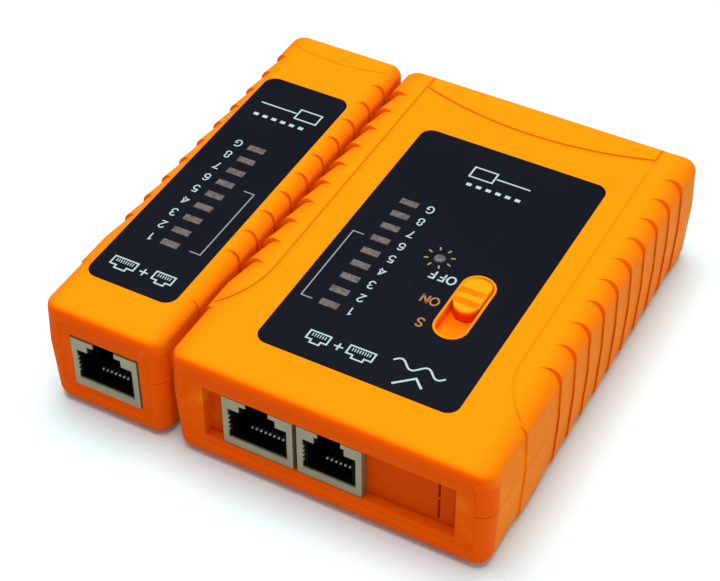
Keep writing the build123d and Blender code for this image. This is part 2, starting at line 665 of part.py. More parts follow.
export_step(remote_lower_shell.part, "parts/remote_lower_shell.step")

# ---------------------------------------------------------------- labels
with BuildPart() as main_label:
    add(plate(
        MAIN_LABEL_X,
        MAIN_LABEL_WIDTH,
        LABEL_NEAR,
        LABEL_FAR,
        PANEL_Z - LABEL_SEAT,
        PANEL_Z + LABEL_RISE,
        LABEL_CORNER,
    ))
    add(lamp_windows(MAIN_LAMP_X, 0.0, PANEL_Z - 1, HEIGHT + 1), mode=Mode.SUBTRACT)
    power_hole = round_posts([(POWER_LAMP_X, POWER_LAMP_Y)], POWER_LAMP_R, PANEL_Z - 1, HEIGHT + 1)
    add(power_hole, mode=Mode.SUBTRACT)
    add(slot_plate(
        SWITCH_X, SWITCH_NEAR, SWITCH_FAR, SWITCH_WIDTH, PANEL_Z - 1, HEIGHT + 1
    ), mode=Mode.SUBTRACT)
main_label.part.label = "main_label"
export_step(main_label.part, "parts/main_label.step")

with BuildPart() as remote_label:
    add(plate(
        REMOTE_LABEL_X,
        REMOTE_LABEL_WIDTH,
        LABEL_NEAR,
        LABEL_FAR,
        PANEL_Z + LABEL_RISE - LABEL_THICK,
        PANEL_Z + LABEL_RISE,
        LABEL_CORNER,
    ))
    add(lamp_windows(REMOTE_LAMP_X, 0.0, PANEL_Z - 1, HEIGHT + 1), mode=Mode.SUBTRACT)
remote_label.part.label = "remote_label"
export_step(remote_label.part, "parts/remote_label.step")

# ---------------------------------------------------------------- port plate
with BuildPart() as port_plate:
    add(block(
        POCKET_LOW_X - PLATE_LAP,
        POCKET_HIGH_X + PLATE_LAP,
        WALL_FRONT,
        WALL_FRONT + PLATE_THICK,
        POCKET_LOW_Z - PLATE_LAP,
        PLATE_TOP,
    ))
    for x, width in ((SOCKET_8_X, SOCKET_8_WIDTH), (SOCKET_6_X, SOCKET_6_WIDTH)):
        add(block(
            x - width / 2 - SOCKET_GAP,
            x + width / 2 + SOCKET_GAP,
            WALL_FRONT - 1,
            WALL_FRONT + PLATE_THICK + 1,
            SOCKET_LOW - SOCKET_GAP,
            SOCKET_LOW + SOCKET_HEIGHT + SOCKET_GAP,
        ), mode=Mode.SUBTRACT)
    # upright slot in two lengths, with a thin web between them
    for low, high in ((7.5, 13.0), (13.5, 17.9)):
        add(block(
            SLIT_LOW_X, SLIT_HIGH_X, WALL_FRONT - 1, WALL_FRONT + 1, low, high
        ), mode=Mode.SUBTRACT)
port_plate.part.label = "port_plate"
export_step(port_plate.part, "parts/port_plate.step")


# ---------------------------------------------------------------- sockets
def opening_outline(x, main_width, grow=0.0):
    """Outline of a socket mouth: wide body, narrower step and latch slot above it."""
    low = SOCKET_LOW + 2.2
    with BuildSketch() as outline:
        for width, height in ((main_width, 8.05), (main_width - 5.1, 9.85), (5.2, 11.05 + grow)):
            with Locations((x, low + height / 2)):
                Rectangle(width, height)
    return outline.sketch


def socket_shield(x, width, front):
    """Folded sheet-metal shield: box with an open back and a stepped mouth."""
    high = SOCKET_LOW + SOCKET_HEIGHT
    half = width / 2
    with BuildPart() as shield:
        add(block(x - half, x + half, front, front + SOCKET_DEPTH, SOCKET_LOW, high))
        add(block(
            x - half + SHIELD,
            x + half - SHIELD,
            front + SHIELD,
            front + SOCKET_DEPTH + 1,
            SOCKET_LOW + SHIELD,
            high - SHIELD,
        ), mode=Mode.SUBTRACT)
        with BuildSketch(cross_plane(front - 1)):
            add(opening_outline(x, width - 2.6, 1.0))
        extrude(amount=-1 - 2 * SHIELD, mode=Mode.SUBTRACT)
        # small earthing teeth along one side of the mouth
        mouth_side = x - half + 1.3
        for k in range(SHIELD_TEETH):
            tooth_low = SOCKET_LOW + 4.2 + k * TOOTH_PITCH
            add(block(
                mouth_side - 0.1,
                mouth_side + TOOTH_LONG,
                front,
                front + SHIELD,
                tooth_low,
                tooth_low + TOOTH_HIGH,
            ))
        # way out for the contact pins
        add(block(
            x - half + 2,
            x + half - 2,
            front + SOCKET_DEPTH - 2.6,
            front + SOCKET_DEPTH + 1,
            high - 1,
            high + 1,
        ), mode=Mode.SUBTRACT)
    return shield.part


def socket_insert(x, width, cavity_width, front, contacts):
    """Black plastic body of a socket, with a comb for the contact wires."""
    high = SOCKET_LOW + SOCKET_HEIGHT - SHIELD
    half = width / 2 - SHIELD
    face = front + SHIELD
    with BuildPart() as insert:
        add(block(x - half, x + half, face, front + SOCKET_DEPTH - 0.2, SOCKET_LOW + SHIELD, high))
        with BuildSketch(cross_plane(face - 0.5)):
            add(opening_outline(x, cavity_width))
        extrude(amount=-SOCKET_CAVITY - 0.5, mode=Mode.SUBTRACT)
        for k in range(contacts):
            wire_x = x + (k - (contacts - 1) / 2) * CONTACT_PITCH
            left, right = wire_x - CONTACT_SLOT_HALF, wire_x + CONTACT_SLOT_HALF
            channel_near, channel_far = front + 2.6, front + 16.1
            channel_low, channel_high = SOCKET_LOW + 0.8, SOCKET_LOW + 2.6
            add(block(
                left, right, channel_near, channel_far, channel_low, channel_high
            ), mode=Mode.SUBTRACT)
            add(block(
                left, right, front + 15.0, channel_far, channel_low, high + 1
            ), mode=Mode.SUBTRACT)
    return insert.part


def contact_wires(x, front, contacts):
    """Sprung contact wires: pin up to the board, run under the comb, slope back up into the mouth."""
    half = CONTACT_THICK / 2
    base = SOCKET_LOW + 1.2
    rear = front + CONTACT_REAR
    with BuildPart() as wires:
        for k in range(contacts):
            wire_x = x + (k - (contacts - 1) / 2) * CONTACT_PITCH
            with BuildSketch(side_plane(wire_x - CONTACT_WIDE / 2)):
                with BuildLine():
                    route = FilletPolyline(
                        (at(rear), BOARD_TOP + 0.7),
                        (at(rear), base),
                        (at(front + 3.4), base),
                        (at(front + 3.9), SOCKET_LOW + 2.55),
                        (at(front + 11.4), SOCKET_LOW + 5.5),
                        radius=0.4,
                    )
                    offset(route, amount=half, side=Side.BOTH)
                make_face()
            extrude(amount=CONTACT_WIDE)
    return wires.part


SOCKETS = [
    ("socket_8", SOCKET_8_X, SOCKET_8_WIDTH, 12.0, SOCKET_MAIN_Y, 8),
    ("socket_6", SOCKET_6_X, SOCKET_6_WIDTH, 9.9, SOCKET_MAIN_Y, 6),
    ("remote_socket", SOCKET_REMOTE_X, SOCKET_8_WIDTH, 12.0, SOCKET_REMOTE_Y, 8),
]
for socket_name, x, width, cavity_width, front, contacts in SOCKETS:
    shield_part = socket_shield(x, width, front)
    shield_part.label = socket_name + "_shield"
    export_step(shield_part, "parts/" + socket_name + "_shield.step")
    insert_part = socket_insert(x, width, cavity_width, front, contacts)
    insert_part.label = socket_name + "_insert"
    export_step(insert_part, "parts/" + socket_name + "_insert.step")
    wire_part = contact_wires(x, front, contacts)
    wire_part.label = socket_name + "_contacts"
    export_step(wire_part, "parts/" + socket_name + "_contacts.step")


# ---------------------------------------------------------------- boards
def board(x_low, x_high, bosses, cutouts):
    """Circuit board notched around the case bosses."""
    with BuildPart() as laminate:
        add(block(x_low, x_high, BOARD_FRONT, BOARD_FAR, BOARD_LOW, BOARD_TOP))
        add(round_posts(bosses, BOSS_R + 0.4, BOARD_LOW - 1, BOARD_TOP + 1), mode=Mode.SUBTRACT)
        add(cutouts, mode=Mode.SUBTRACT)
    return laminate.part


def pin_holes(sockets, screws):
    """Holes for the socket pins and the board screws."""
    with BuildPart() as holes:
        for x, front, contacts in sockets:
            first_x = x - (contacts - 1) / 2 * CONTACT_PITCH
            pins = [(first_x + k * CONTACT_PITCH, front + CONTACT_REAR) for k in range(contacts)]
            add(round_posts(pins, PIN_HOLE_R, BOARD_LOW - 1, BOARD_TOP + 1))
        add(round_posts(screws, BOARD_SCREW_R + 0.1, BOARD_LOW - 1, BOARD_TOP + 1))
    return holes.part


with BuildPart() as main_cutouts:
    add(pin_holes([(SOCKET_8_X, SOCKET_MAIN_Y, 8), (SOCKET_6_X, SOCKET_MAIN_Y, 6)], MAIN_BOARD_SCREWS))
    add(block(
        SWITCH_X - HOUSING_WIDTH / 2 - 0.1,
        SWITCH_X + HOUSING_WIDTH / 2 + 0.1,
        HOUSING_NEAR - 0.1,
        HOUSING_FAR + 0.1,
        BOARD_LOW - 1,
        BOARD_TOP + 1,
    ))

BOARDS = [
    ("main_board", MAIN_INNER_LOW, MAIN_INNER_HIGH, MAIN_SCREWS, main_cutouts.part),
    (
        "remote_board",
        REMOTE_INNER_LOW,
        REMOTE_INNER_HIGH,
        REMOTE_SCREWS,
        pin_holes([(SOCKET_REMOTE_X, SOCKET_REMOTE_Y, 8)], REMOTE_BOARD_SCREWS),
    ),
]
for board_name, low, high, bosses, cutouts in BOARDS:
    laminate_part = board(low + BOARD_SIDE_GAP, high - BOARD_SIDE_GAP, bosses, cutouts)
    laminate_part.label = board_name
    export_step(laminate_part, "parts/" + board_name + ".step")

# ---------------------------------------------------------------- indicator lamps
for unit, x in (("main", MAIN_LAMP_X), ("remote", REMOTE_LAMP_X)):
    for k in range(LAMP_COUNT):
        y = LAMP_FIRST + k * LAMP_PITCH
        with BuildPart() as lamp:
            near, far = y - LAMP_LONG / 2, y + LAMP_LONG / 2
            add(plate(x, LAMP_WIDE, near, far, BOARD_TOP, LAMP_TOP))
            add(plate(
                x,
                LAMP_WIDE + 2 * LAMP_FLANGE,
                near - LAMP_FLANGE,
                far + LAMP_FLANGE,
                BOARD_TOP,
                BOARD_TOP + LAMP_FLANGE_THICK,
            ))
        lamp.part.label = unit + "_lamp_" + str(k + 1)
        export_step(lamp.part, "parts/" + unit + "_lamp_" + str(k + 1) + ".step")

with BuildPart() as power_lamp:
    with BuildSketch(Plane.XY.offset(BOARD_TOP)):
        with Locations((POWER_LAMP_X, at(POWER_LAMP_Y))):
            Circle(POWER_LAMP_R + 0.4)
    extrude(amount=1.0)
    with BuildSketch(Plane.XY.offset(BOARD_TOP)):
        with Locations((POWER_LAMP_X, at(POWER_LAMP_Y))):
            Circle(POWER_LAMP_R - 0.1)
    extrude(amount=LAMP_TOP + 0.3 - BOARD_TOP)
    fillet(power_lamp.faces().sort_by(Axis.Z)[-1].edges(), 0.7)
power_lamp.part.label = "power_lamp"
export_step(power_lamp.part, "parts/power_lamp.step")

# ---------------------------------------------------------------- slide switch
with BuildPart() as switch_housing:
    add(block(
        SWITCH_X - HOUSING_WIDTH / 2,
        SWITCH_X + HOUSING_WIDTH / 2,
        HOUSING_NEAR,
        HOUSING_FAR,
        HOUSING_LOW,
        BOARD_TOP,
    ))
    add(block(
        SWITCH_X - HOUSING_WIDTH / 2 - HOUSING_FLANGE,
        SWITCH_X + HOUSING_WIDTH / 2 + HOUSING_FLANGE,
        HOUSING_NEAR - HOUSING_FLANGE,
        HOUSING_FAR + HOUSING_FLANGE,
        BOARD_TOP,
        BOARD_TOP + HOUSING_FLANGE_THICK,
    ))
    add(block(
        SWITCH_X - SLIDER_FOOT / 2 - 0.1,
        SWITCH_X + SLIDER_FOOT / 2 + 0.1,
        STEM_NEAR - FOOT_REACH - SWITCH_TRAVEL - 0.2,
        STEM_FAR + FOOT_REACH + 0.2,
        HOUSING_LOW + 1.0,
        BOARD_TOP + 1,
    ), mode=Mode.SUBTRACT)
switch_housing.part.label = "switch_housing"
export_step(switch_housing.part, "parts/switch_housing.step")

with BuildPart() as switch_slider:
    slider_low, slider_high = SWITCH_X - SLIDER_WIDTH / 2, SWITCH_X + SLIDER_WIDTH / 2
    foot_low, foot_high = SWITCH_X - SLIDER_FOOT / 2, SWITCH_X + SLIDER_FOOT / 2
    stem_half = STEM_WIDTH / 2
    add(block(slider_low, slider_high, SLIDER_NEAR, SLIDER_FAR, SLIDER_LOW, SLIDER_HIGH))
    add(block(
        foot_low, foot_high, STEM_NEAR - FOOT_REACH, STEM_FAR + FOOT_REACH, HOUSING_LOW + 1.2, SLIDER_LOW
    ))
    add(block(
        SWITCH_X - stem_half, SWITCH_X + stem_half, STEM_NEAR, STEM_FAR, SLIDER_LOW, SLIDER_HIGH + 1
    ), mode=Mode.SUBTRACT)
switch_slider.part.label = "switch_slider"
export_step(switch_slider.part, "parts/switch_slider.step")

with BuildPart() as switch_knob:
    add(slot_plate(SWITCH_X, KNOB_NEAR, KNOB_FAR, KNOB_WIDTH, KNOB_BASE, KNOB_TOP + 1))
    # crowned top, lower at both ends
    with BuildSketch(side_plane(SWITCH_X - KNOB_WIDTH)):
        with BuildLine():
            crown = ThreePointArc(
                (at(KNOB_NEAR), KNOB_TOP - KNOB_FALL_NEAR),
                (at(KNOB_MIDDLE), KNOB_TOP),
                (at(KNOB_FAR), KNOB_TOP - KNOB_FALL_FAR),
            )
            Polyline(
                crown @ 1,
                (at(KNOB_FAR), KNOB_BASE - 1),
                (at(KNOB_NEAR), KNOB_BASE - 1),
                crown @ 0,
            )
        make_face()
    extrude(amount=2 * KNOB_WIDTH, mode=Mode.INTERSECT)
    fillet(switch_knob.faces().sort_by(Axis.Z)[-1].edges(), KNOB_EDGE)
    # two grooves across the top leave three ridges for the finger
    for groove_y in KNOB_GROOVES:
        with BuildSketch(side_plane(SWITCH_X - KNOB_WIDTH)):
            with Locations((at(groove_y), KNOB_TOP + GROOVE_LIFT)):
                Circle(GROOVE_R)
        extrude(amount=2 * KNOB_WIDTH, mode=Mode.SUBTRACT)
    add(block(
        SWITCH_X - stem_half, SWITCH_X + stem_half, STEM_NEAR, STEM_FAR, SLIDER_LOW, KNOB_BASE + 0.1
    ))
switch_knob.part.label = "switch_knob"
export_step(switch_knob.part, "parts/switch_knob.step")

# ---------------------------------------------------------------- battery and its leads
with BuildPart() as battery:
    add(block(
        BATTERY_X - BATTERY_WIDTH / 2,
        BATTERY_X + BATTERY_WIDTH / 2,
        BATTERY_NEAR,
        BATTERY_NEAR + BATTERY_LENGTH,
        BATTERY_LOW,
        BATTERY_LOW + BATTERY_HEIGHT,
    ))
    fillet(battery.edges().filter_by(Axis.Y), 2.5)
battery.part.label = "battery"
export_step(battery.part, "parts/battery.step")

with BuildPart() as battery_terminals:
    with BuildSketch(cross_plane(BATTERY_NEAR)):
        with Locations((BATTERY_X - STUD_SPACING / 2, STUD_Z)):
            Circle(STUD_R)
        with Locations((BATTERY_X + STUD_SPACING / 2, STUD_Z)):
            RegularPolygon(STUD_HEX_R, 6)
    extrude(amount=STUD_LENGTH)
battery_terminals.part.label = "battery_terminals"
export_step(battery_terminals.part, "parts/battery_terminals.step")

with BuildPart() as snap_connector:
    add(block(BATTERY_X - 12.5, BATTERY_X + 12.5, SNAP_NEAR, SNAP_FAR, STUD_Z - 6.0, STUD_Z + 6.0))
    fillet(snap_connector.edges().filter_by(Axis.Y), 4.0)
    with BuildSketch(cross_plane(SNAP_FAR)):
        with Locations((BATTERY_X - STUD_SPACING / 2, STUD_Z)):
            Circle(STUD_R + 0.1)
        with Locations((BATTERY_X + STUD_SPACING / 2, STUD_Z)):
            Circle(STUD_HEX_R + 0.1)
    extrude(amount=SNAP_FAR - BATTERY_NEAR + STUD_LENGTH + 0.1, mode=Mode.SUBTRACT)
snap_connector.part.label = "snap_connector"
export_step(snap_connector.part, "parts/snap_connector.step")

for lead_name, x, reach in (("lead_red", BATTERY_X - 11.0, 32.0), ("lead_black", BATTERY_X - 8.0, 29.0)):
    with BuildPart() as lead:
        with BuildLine(side_plane(x)) as route:
            FilletPolyline(
                (at(SNAP_NEAR), STUD_Z),
                (at(reach), STUD_Z),
                (at(reach), BOARD_LOW),
                radius=4.0,
            )
        with BuildSketch(Plane(origin=route.line @ 0, z_dir=route.line % 0)):
            Circle(LEAD_R)
        sweep()
    lead.part.label = lead_name
    export_step(lead.part, "parts/" + lead_name + ".step")

# ---------------------------------------------------------------- components on the boards
for chip_name, x, y in (("clock_chip", -8.0, 70.0), ("counter_chip", 36.0, 68.0)):
    with BuildPart() as chip:
        add(plate(
            x, CHIP_WIDE, y - CHIP_LONG / 2, y + CHIP_LONG / 2, BOARD_TOP + CHIP_LOW, BOARD_TOP + CHIP_HIGH
        ))
        for k in range(CHIP_PINS):
            pin_near = y + (k - (CHIP_PINS - 1) / 2) * CHIP_PIN_PITCH - CHIP_PIN_WIDE / 2
            pin_far = pin_near + CHIP_PIN_WIDE
            add(plate(x, CHIP_SPAN, pin_near, pin_far, BOARD_TOP, BOARD_TOP + CHIP_PIN_HIGH))
    chip.part.label = chip_name
    export_step(chip.part, "parts/" + chip_name + ".step")


def small_parts(points, wide, long, high):
    """Group of equal chip components standing on a board."""
    with BuildPart() as group:
        with BuildSketch(Plane.XY.offset(BOARD_TOP)):
            with Locations(*[(x, at(y)) for x, y in points]):
                Rectangle(wide, long)
        extrude(amount=high)
    return group.part


resistors = small_parts([(8.0, 30.0 + 4 * k) for k in range(8)], 3.2, 1.6, 0.6)
resistors.label = "resistors"
export_step(resistors, "parts/resistors.step")
capacitors = small_parts([(-8.0, 82.0), (36.0, 80.0)], 2.0, 3.2, 1.4)
capacitors.label = "capacitors"
export_step(capacitors, "parts/capacitors.step")
diodes = small_parts([(-29.5, 30.0 + 4.4 * k) for k in range(8)], 3.4, 1.5, 1.3)
diodes.label = "diodes"
export_step(diodes, "parts/diodes.step")


# ---------------------------------------------------------------- screws
def screws(points, radius, head_radius, head_low, head_high, tip):
    """Group of equal cross-head screws driven from below."""
    with BuildPart() as group:
        add(round_posts(points, head_radius, head_low, head_high))
        add(round_posts(points, radius, head_high, tip))
        for x, y in points:
            slot = plate(x, 0.5, y - 1.1, y + 1.1, head_low - 1, head_low + 0.6)
            add(slot, mode=Mode.SUBTRACT)
            cross = plate(x, 2.2, y - 0.25, y + 0.25, head_low - 1, head_low + 0.6)
            add(cross, mode=Mode.SUBTRACT)
    return group.part


CASE_SCREW = (CASE_SCREW_R, CASE_HEAD_R, CASE_HEAD_LOW, CASE_HEAD_Z, CASE_SCREW_TIP)
BOARD_SCREW = (BOARD_SCREW_R, BOARD_HEAD_R, BOARD_LOW - BOARD_HEAD_DEPTH, BOARD_LOW, BOARD_SCREW_TIP)
SCREW_GROUPS = [
    ("main_case_screws", MAIN_SCREWS, CASE_SCREW),
    ("remote_case_screws", REMOTE_SCREWS, CASE_SCREW),
    ("main_board_screws", MAIN_BOARD_SCREWS, BOARD_SCREW),
    ("remote_board_screws", REMOTE_BOARD_SCREWS, BOARD_SCREW),
]
for group_name, points, sizes in SCREW_GROUPS:
    group_part = screws(points, *sizes)
    group_part.label = group_name
    export_step(group_part, "parts/" + group_name + ".step")
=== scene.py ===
"""Looks of the network cable tester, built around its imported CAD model. Metres, same frame as the CAD."""

import json
import math

import bmesh
import bpy
from mathutils import Matrix, Vector


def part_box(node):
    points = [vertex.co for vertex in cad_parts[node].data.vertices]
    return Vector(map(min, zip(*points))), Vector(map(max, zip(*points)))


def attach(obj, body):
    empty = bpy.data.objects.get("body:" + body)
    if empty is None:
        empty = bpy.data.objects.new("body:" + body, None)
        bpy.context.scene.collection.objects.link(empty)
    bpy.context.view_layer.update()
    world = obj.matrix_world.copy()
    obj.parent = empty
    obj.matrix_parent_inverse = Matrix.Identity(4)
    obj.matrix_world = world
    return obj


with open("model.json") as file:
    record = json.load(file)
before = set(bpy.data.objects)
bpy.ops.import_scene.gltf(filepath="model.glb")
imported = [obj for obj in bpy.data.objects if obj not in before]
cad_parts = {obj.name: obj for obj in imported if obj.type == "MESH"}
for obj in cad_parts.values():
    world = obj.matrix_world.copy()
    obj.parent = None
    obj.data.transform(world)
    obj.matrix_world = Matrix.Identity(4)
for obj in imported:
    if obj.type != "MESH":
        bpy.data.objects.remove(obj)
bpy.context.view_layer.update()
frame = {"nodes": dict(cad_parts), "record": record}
NODES = frame["nodes"]

MM = 0.001
FRONT = -53.0          # the socket face, in mm along Y
MAIN, REMOTE = "main_unit", "remote_unit"


def at(distance):
    """Y in mm of a point this far behind the socket face."""
    return FRONT + distance


def tint(colour, factor, lift=0.0):
    """A colour made lighter or darker."""
    return tuple(min(1.0, part * factor + lift) for part in colour)


# ------------------------------------------------------------------ node helpers
class Look:
    """One procedural material around a principled shader."""

    def __init__(self, name):
        self.material = bpy.data.materials.new(name)
        self.material.use_nodes = True
        self.tree = self.material.node_tree
        self.tree.nodes.clear()
        output = self.add("ShaderNodeOutputMaterial")
        self.shader = self.add("ShaderNodeBsdfPrincipled")
        self.link(self.shader.outputs[0], output.inputs["Surface"])
        self.coord = self.add("ShaderNodeTexCoord").outputs["Object"]
        self.place = None

    def add(self, kind, **settings):
        """A new node with the given settings."""
        node = self.tree.nodes.new(kind)
        for key, value in settings.items():
            setattr(node, key, value)
        return node

    def link(self, source, target):
        self.tree.links.new(source, target)

    def fill(self, slot, value):
        """Put a number, a colour or another node's output into a socket."""
        if isinstance(value, (int, float)):
            slot.default_value = value
        elif isinstance(value, tuple):
            slot.default_value = (*value, 1.0)
        else:
            self.link(value, slot)

    def set(self, name, value):
        """Set one input of the principled shader."""
        self.fill(self.shader.inputs[name], value)

    def axes(self, vector):
        """X, Y and Z of a vector."""
        node = self.add("ShaderNodeSeparateXYZ")
        self.link(vector, node.inputs[0])
        return node.outputs

    def noise(self, scale, detail=3.0, rough=0.55, coord=None):
        """Noise fixed to the piece, at about this many cells to a metre."""
        node = self.add("ShaderNodeTexNoise")
        node.inputs["Scale"].default_value = scale
        node.inputs["Detail"].default_value = detail
        node.inputs["Roughness"].default_value = rough
        self.link(coord or self.coord, node.inputs["Vector"])
        return node.outputs["Fac"]

    def ramp(self, value, low, high, to_low=0.0, to_high=1.0):
        """Straight ramp of a value, held level beyond its two ends."""
        node = self.add("ShaderNodeMapRange")
        node.inputs["From Min"].default_value = low
        node.inputs["From Max"].default_value = high
        node.inputs["To Min"].default_value = to_low
        node.inputs["To Max"].default_value = to_high
        self.link(value, node.inputs["Value"])
        return node.outputs["Result"]

    def varied(self, scale, detail, low=0.0, high=1.0):
        """Noise stretched to run from one value to another."""
        return self.ramp(self.noise(scale, detail), 0.3, 0.7, low, high)

    def span(self, axis, places, to_low=0.0, to_high=1.0):
        """Ramp between two places in mm along one axis of the object."""
        if self.place is None:
            self.place = self.axes(self.coord)
        start, end = places
        return self.ramp(self.place[axis], start * MM, end * MM, to_low, to_high)

    def depth(self, distances, to_low=0.0, to_high=1.0):
        """Ramp between two distances in mm behind the socket face."""
        return self.span("Y", [at(distance) for distance in distances], to_low, to_high)

    def join(self, operation, first, *others):
        """One value from several by the same operation, such as MULTIPLY or MAXIMUM."""
        for value in others:
            node = self.add("ShaderNodeMath", operation=operation)
            self.fill(node.inputs[0], first)
            self.fill(node.inputs[1], value)
            first = node.outputs[0]
        return first

    def mix(self, factor, first, second, blend="MIX"):
        node = self.add("ShaderNodeMix", data_type="RGBA", blend_type=blend)
        for slot, value in ((node.inputs[0], factor), (node.inputs[6], first), (node.inputs[7], second)):
            self.fill(slot, value)
        return node.outputs[2]

    def bump(self, height, strength, distance, normal=None):
        node = self.add("ShaderNodeBump")
        node.inputs["Strength"].default_value = strength
        node.inputs["Distance"].default_value = distance
        self.link(height, node.inputs["Height"])
        if normal is not None:
            self.link(normal, node.inputs["Normal"])
        return node.outputs[0]

    def pointiness(self):
        """High on sharp outer corners, low in creases."""
        return self.add("ShaderNodeNewGeometry").outputs["Pointiness"]


# ------------------------------------------------------------------ materials
# Colour zones of the orange mouldings, in mm, where light and shade are painted into the colour. A pair runs
# from where a zone begins to where it is full.
# Places along Y are distances behind the socket face.
FRONT_Y = (9.0, 6.0)
SUNK_Y, SUNK_Z = (4.4, 3.6), (24.6, 22.6)
CREST_Z = (26.35, 27.0)
RIM_Z = (22.5, 25.0)
OUTER_RIMS_X = ((45.6, 50.6), (-46.6, -50.6))
MAIN_GAP_RIM_X, MAIN_SIDE_X = (-15.4, -20.4), (-21.4, -21.2)
REMOTE_GAP_RIM_X, REMOTE_SIDE_X = (-25.8, -22.2), (-21.2, -21.4)
DISH_DOWN_Z, DISH_FLOOR_Z = (26.6, 25.0), (22.5, 23.5)
DISH_REACH_Y = (30.5, 37.5)
FLANK_Z = (27.5, 26.5)
# The recess around the knob lies between these bounds, and its zone is full this far inside them.
DISH_BOUNDS = (("X", 22.0, 29.7), ("Y", at(29.0), at(49.2)))
DISH_EDGE = 0.2
# Middles of the grip grooves, and how far from one its band of painted shade begins and is full.
KNOB_GROOVES = (39.7, 42.7)
GROOVE_BEGINS, GROOVE_FULL = 0.85, 0.25


def rib_shade_zone(look, up):
    """Painted shade on the top of each unit over the ribs, towards its two long edges."""
    rim = look.join("MAXIMUM", *[look.span("X", places) for places in OUTER_RIMS_X])
    for places, own_side in ((MAIN_GAP_RIM_X, MAIN_SIDE_X), (REMOTE_GAP_RIM_X, REMOTE_SIDE_X)):
        beside_gap = look.join("MULTIPLY", look.span("X", own_side), look.span("X", places))
        rim = look.join("MAXIMUM", rim, beside_gap)
    return look.join("MULTIPLY", rim, look.span("Z", RIM_Z), look.ramp(up, 0.35, 0.75, 0.0, 0.85))


def dish_shade_zone(look):
    """Painted shade in the finger recess around the knob, stronger towards its floor and under the knob."""
    dish = look.join("MULTIPLY", look.span("Z", DISH_DOWN_Z), look.span("Z", DISH_FLOOR_Z))
    for axis, low, high in DISH_BOUNDS:
        for places in ((low, low + DISH_EDGE), (high, high - DISH_EDGE)):
            dish = look.join("MULTIPLY", dish, look.span(axis, places))
    return look.join("MULTIPLY", dish, look.depth(DISH_REACH_Y, 0.1, 0.8))


def groove_shade_band(look, groove):
    """Band of painted shade across the knob along one of its grip grooves."""
    near = look.depth((groove - GROOVE_BEGINS, groove - GROOVE_FULL))
    far = look.depth((groove + GROOVE_BEGINS, groove + GROOVE_FULL))
    return look.join("MULTIPLY", near, far, 0.6)


def moulded(name, bright, side, shade_colour, rough=0.42, grooves=()):
    """Moulded ABS with painted light and shade: a lit top colour, a side colour and a shaded colour by
    facing and place, with painted shade on the sunk socket face, over the ribs, in the finger recess and on
    the knob; with fine grain, mottling, specks and paler worn corners. On a knob, which alone has grip
    grooves, every face towards -Y takes the shaded colour. On the others only those near the front do.
    """
    look = Look(name)
    normal = look.axes(look.add("ShaderNodeNewGeometry").outputs["Normal"])
    # painted light and shade: faces towards -Y take the shaded colour, faces turned up the lit top colour,
    # the rest the side colour
    front_shade = look.ramp(normal["Y"], -0.25, -0.9)
    if not grooves:
        front_shade = look.join("MULTIPLY", front_shade, look.depth(FRONT_Y))
    colour = look.mix(front_shade, side, shade_colour)
    colour = look.mix(look.ramp(normal["Z"], 0.55, 0.985), colour, bright)
    # painted shade: the sunk socket face and its ledges keep the shaded colour whichever way they face
    sunk = look.join("MULTIPLY", look.depth(SUNK_Y), look.span("Z", SUNK_Z), 0.85)
    colour = look.mix(sunk, colour, tint(shade_colour, 0.92))
    # painted light: surfaces up near the top, the walls of the fine grooves too, take the lit top colour
    # like the face around them
    colour = look.mix(look.span("Z", CREST_Z, 0.0, 0.85), colour, bright)
    # painted shade over the rib tops towards the long edges, in a darker, redder copy of the lit top colour
    rib_shade_colour = (bright[0] * 0.87, bright[1] * 0.6, bright[2] * 0.8)
    colour = look.mix(rib_shade_zone(look, normal["Z"]), colour, rib_shade_colour)
    # painted shade in the finger recess around the knob
    colour = look.mix(dish_shade_zone(look), colour, shade_colour)
    # painted shade along the knob's grip grooves
    for groove in grooves:
        colour = look.mix(groove_shade_band(look, groove), colour, shade_colour)
    # painted shade: the knob's flanks below its top take the shaded colour
    if grooves:
        colour = look.mix(look.span("Z", FLANK_Z, 0.0, 0.9), colour, shade_colour)
    colour = look.mix(look.varied(55.0, 4.0, 0.0, 0.5), colour, (0.94, 0.92, 0.90), "MULTIPLY")
    specks = look.ramp(look.noise(2600.0, 2.0), 0.62, 0.74, 0.0, 0.14)
    colour = look.mix(specks, colour, tint(bright, 1.10, 0.004))
    corners = look.ramp(look.pointiness(), 0.53, 0.60, 0.0, 0.35)
    worn = look.join("MULTIPLY", corners, look.ramp(look.noise(240.0, 3.0), 0.42, 0.62))
    colour = look.mix(worn, colour, tint(bright, 1.10, 0.008))
    look.set("Base Color", colour)
    look.set("Roughness", look.varied(420.0, 3.0, rough - 0.05, rough + 0.08))
    fine = look.bump(look.noise(5200.0, 2.0), 0.35, 0.00004)
    look.set("Normal", look.bump(look.noise(320.0, 2.0), 0.12, 0.0002, fine))
    look.set("Specular IOR Level", 0.012)
    look.set("Specular Tint", (1.0, 0.62, 0.28))
    return look.material


def film(name, colour):
    """Satin film of the labels: cloudy, with dust and a faint orange-peel surface."""
    look = Look(name)
    base = look.mix(look.varied(38.0, 4.0), colour, tint(colour, 1.2, 0.0004))
    dust = look.ramp(look.noise(3400.0, 2.0), 0.70, 0.78, 0.0, 0.22)
    look.set("Base Color", look.mix(dust, base, (0.09, 0.09, 0.10)))
    look.set("Roughness", look.varied(260.0, 4.0, 0.48, 0.54))
    look.set("Normal", look.bump(look.noise(900.0, 2.0), 0.15, 0.00003))
    look.set("Specular IOR Level", 0.05)
    return look.material


def ink(name, colour):
    """Screen-printed ink with slightly uneven coverage."""
    look = Look(name)
    patch = look.ramp(look.noise(1600.0, 3.0), 0.35, 0.65, 0.0, 0.35)
    look.set("Base Color", look.mix(patch, colour, tint(colour, 0.72)))
    look.set("Roughness", look.varied(900.0, 2.0, 0.5, 0.65))
    look.set("Normal", look.bump(look.noise(2400.0, 2.0), 0.2, 0.00002))
    look.set("Specular IOR Level", 0.2)
    return look.material


